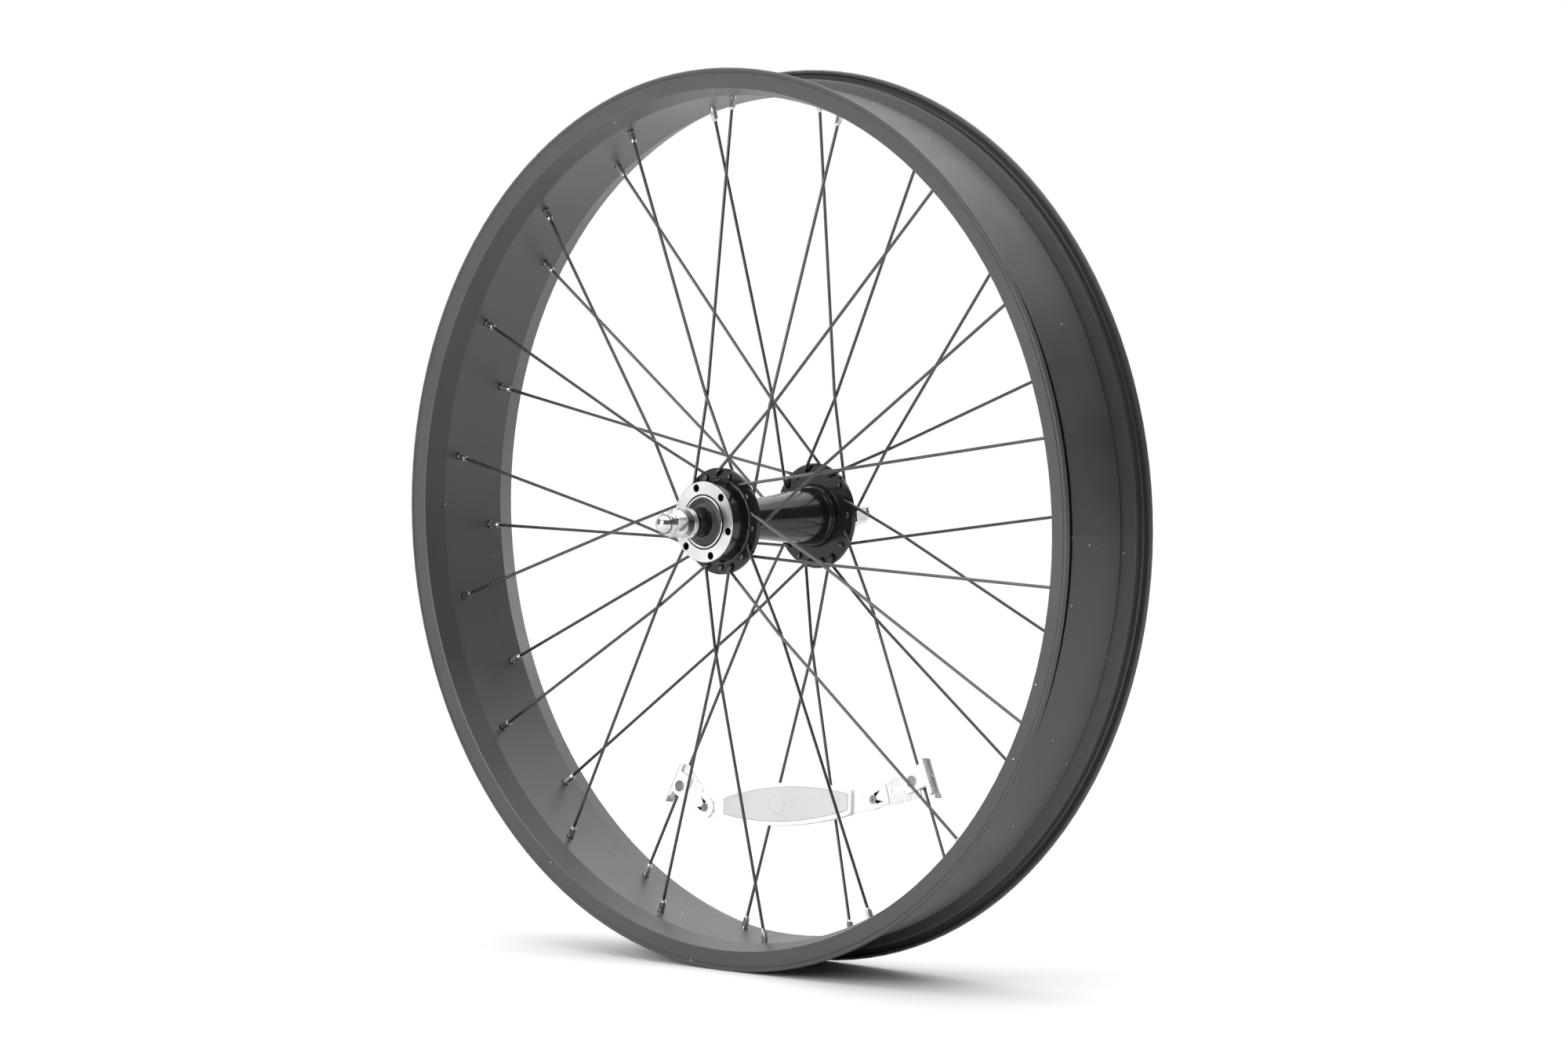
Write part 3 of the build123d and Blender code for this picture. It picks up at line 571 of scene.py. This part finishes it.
def reflector_matrix():
    """From the reflector's own x (along it) and z (across it) to the wheel's frame."""
    x, z = FRAME_MIDDLE
    lean_y, lean_z = LEAN_LINE
    upright = Matrix.Translation((x, 0, z)) @ Matrix.Rotation(-FRAME_TILT, 4, "Y")
    leaning = Matrix.Translation((0, lean_y, lean_z)) @ Matrix.Rotation(-LEAN, 4, "X")
    return leaning @ Matrix.Translation((0, -lean_y, -lean_z)) @ upright


def lens_points(columns, rows):
    """A grid of points on the lens's front and one behind it on its back."""
    place = reflector_matrix()
    front = []
    back = []
    for column in range(columns + 1):
        x = -LENS_HALF_LENGTH + 2 * LENS_HALF_LENGTH * column / columns
        tall = lens_half_height(x)
        for row in range(rows + 1):
            z = tall * (2 * row / rows - 1)
            front.append(place @ Vector((x, lens_front(x, z), z)))
            back.append(place @ Vector((x, LENS_BACK_Y - PRISM_DEPTH + prism_height(x, z), z)))
    return front + back


def lens_faces(columns, rows):
    """Faces of the two grids, and the rim of faces that joins their borders."""
    across = rows + 1
    offset = (columns + 1) * across
    faces = []
    for column in range(columns):
        for row in range(rows):
            a = column * across + row
            quad = (a, a + across, a + across + 1, a + 1)
            faces.append(quad)
            faces.append(tuple(offset + index for index in reversed(quad)))
    border = [column * across for column in range(columns + 1)]
    border += [columns * across + row for row in range(1, rows + 1)]
    border += [column * across + rows for column in range(columns - 1, -1, -1)]
    border += [row for row in range(rows - 1, 0, -1)]
    for index, here in enumerate(border):
        there = border[(index + 1) % len(border)]
        faces.append((there, here, here + offset, there + offset))
    return faces


def make_lens():
    """Clear lens: smooth front with a boss, and prisms on its back."""
    columns = int(2 * LENS_HALF_LENGTH / LENS_STEP)
    rows = int(2 * LENS_HALF_HEIGHT / LENS_STEP)
    mesh = mesh_from(lens_points(columns, rows), lens_faces(columns, rows), "lens")
    return add_piece("reflector_lens_prisms", mesh, "reflector", "clear_lens",
                     ["reflector_lens"], 25.0)


def soften_mouldings():
    for node in WHITE_MOULDINGS:
        soften(node, "white_plastic", MOULDING_ROUND)
    for node in LATCHES:
        soften(node, "latch", LATCH_ROUND)


# ---------------------------------------------------------------- stage

def camera_directions():
    """The camera's right, up and back directions."""
    flat = math.cos(CAMERA_ELEVATION)
    back = Vector((math.sin(CAMERA_AZIMUTH) * flat, -math.cos(CAMERA_AZIMUTH) * flat,
                   math.sin(CAMERA_ELEVATION)))
    right = Vector((math.cos(CAMERA_AZIMUTH), math.sin(CAMERA_AZIMUTH), 0))
    return right, back.cross(right), back


def make_camera():
    right, up, back = camera_directions()
    data = bpy.data.cameras.new("camera")
    data.lens = CAMERA_LENS
    data.sensor_width = 36.0
    data.clip_end = 50.0
    camera = bpy.data.objects.new("camera", data)
    turn = Matrix((right, up, back)).transposed().to_4x4()
    spot = CAMERA_RIGHT * right + CAMERA_UP * up + CAMERA_DISTANCE * back
    camera.matrix_world = Matrix.Translation(spot) @ turn
    bpy.context.scene.collection.objects.link(camera)
    bpy.context.scene.camera = camera


def make_floor():
    """A wide round pale floor."""
    mesh = bpy.data.meshes.new("floor")
    shape = bmesh.new()
    bmesh.ops.create_circle(shape, cap_ends=True, segments=96, radius=FLOOR_R)
    bmesh.ops.translate(shape, verts=shape.verts, vec=(0, 0, FLOOR_Z))
    shape.to_mesh(mesh)
    shape.free()
    m = Finish("paper_floor", (0.9, 0.9, 0.9), 0.9, Specular_IOR_Level=0.0)
    m.color(m.blend(m.noise(3.0), (0.89, 0.89, 0.89), (0.91, 0.91, 0.91)))
    mesh.materials.append(m.material)
    floor = bpy.data.objects.new("floor", mesh)
    bpy.context.scene.collection.objects.link(floor)


def make_soft_box(name, spot, size, power):
    """A square soft box that faces the wheel's centre."""
    data = bpy.data.lights.new(name, "AREA")
    data.size = size
    data.energy = power
    light = bpy.data.objects.new(name, data)
    light.matrix_world = (Matrix.Translation(spot)
                          @ (-spot).to_track_quat("-Z", "Y").to_matrix().to_4x4())
    bpy.context.scene.collection.objects.link(light)


def make_lights():
    sky = bpy.data.lights.new("overhead", "SUN")
    sky.angle = SUN_SPREAD
    sky.energy = SUN_ENERGY
    overhead = bpy.data.objects.new("overhead", sky)
    overhead.rotation_euler = (SUN_TILT, SUN_TILT, 0)
    bpy.context.scene.collection.objects.link(overhead)
    right, up, back = camera_directions()
    for name, (place, size, power) in SOFT_BOXES.items():
        spot = back * place[2] + right * place[0] + up * place[1]
        make_soft_box(name, spot, size, power)


def world_level(nodes, links):
    """White behind the object, dark on the camera's side."""
    facing = nodes.new("ShaderNodeVectorMath")
    facing.operation = "DOT_PRODUCT"
    facing.inputs[1].default_value = camera_directions()[2]
    links.new(nodes.new("ShaderNodeTexCoord").outputs["Generated"], facing.inputs[0])
    level = nodes.new("ShaderNodeMapRange")
    level.interpolation_type = "SMOOTHSTEP"
    for socket, value in enumerate((*WORLD_RAMP, WORLD_WHITE, WORLD_DARK), start=1):
        level.inputs[socket].default_value = value
    links.new(facing.outputs["Value"], level.inputs[0])
    return level.outputs[0]


def matt_share(nodes, links, diffuse_ray):
    """The share of the level that a ray takes: less where it comes from a matt surface."""
    share = nodes.new("ShaderNodeMath")
    share.operation = "MULTIPLY_ADD"
    share.inputs[1].default_value = WORLD_MATT_SHARE - 1.0
    share.inputs[2].default_value = 1.0
    links.new(diffuse_ray, share.inputs[0])
    return share.outputs[0]


def make_world():
    """A white cove: plain white where it is seen directly, and graded as a light."""
    world = bpy.data.worlds.new("studio")
    world.use_nodes = True
    nodes = world.node_tree.nodes
    links = world.node_tree.links
    path = nodes.new("ShaderNodeLightPath")
    light = nodes.new("ShaderNodeMath")
    light.operation = "MULTIPLY"
    links.new(world_level(nodes, links), light.inputs[0])
    links.new(matt_share(nodes, links, path.outputs["Is Diffuse Ray"]), light.inputs[1])
    seen = nodes.new("ShaderNodeMix")
    seen.inputs[3].default_value = 1.0
    links.new(path.outputs["Is Camera Ray"], seen.inputs[0])
    links.new(light.outputs[0], seen.inputs[2])
    background = nodes["Background"]
    background.inputs["Color"].default_value = (1, 1, 1, 1)
    links.new(seen.outputs[0], background.inputs["Strength"])
    bpy.context.scene.world = world


# ---------------------------------------------------------------- put together

make_camera()
paint_cad_nodes()
make_axle_thread()
make_spoke_heads()
make_lens()
soften_mouldings()
make_floor()
make_lights()
make_world()
bpy.context.scene.view_settings.view_transform = "Standard"
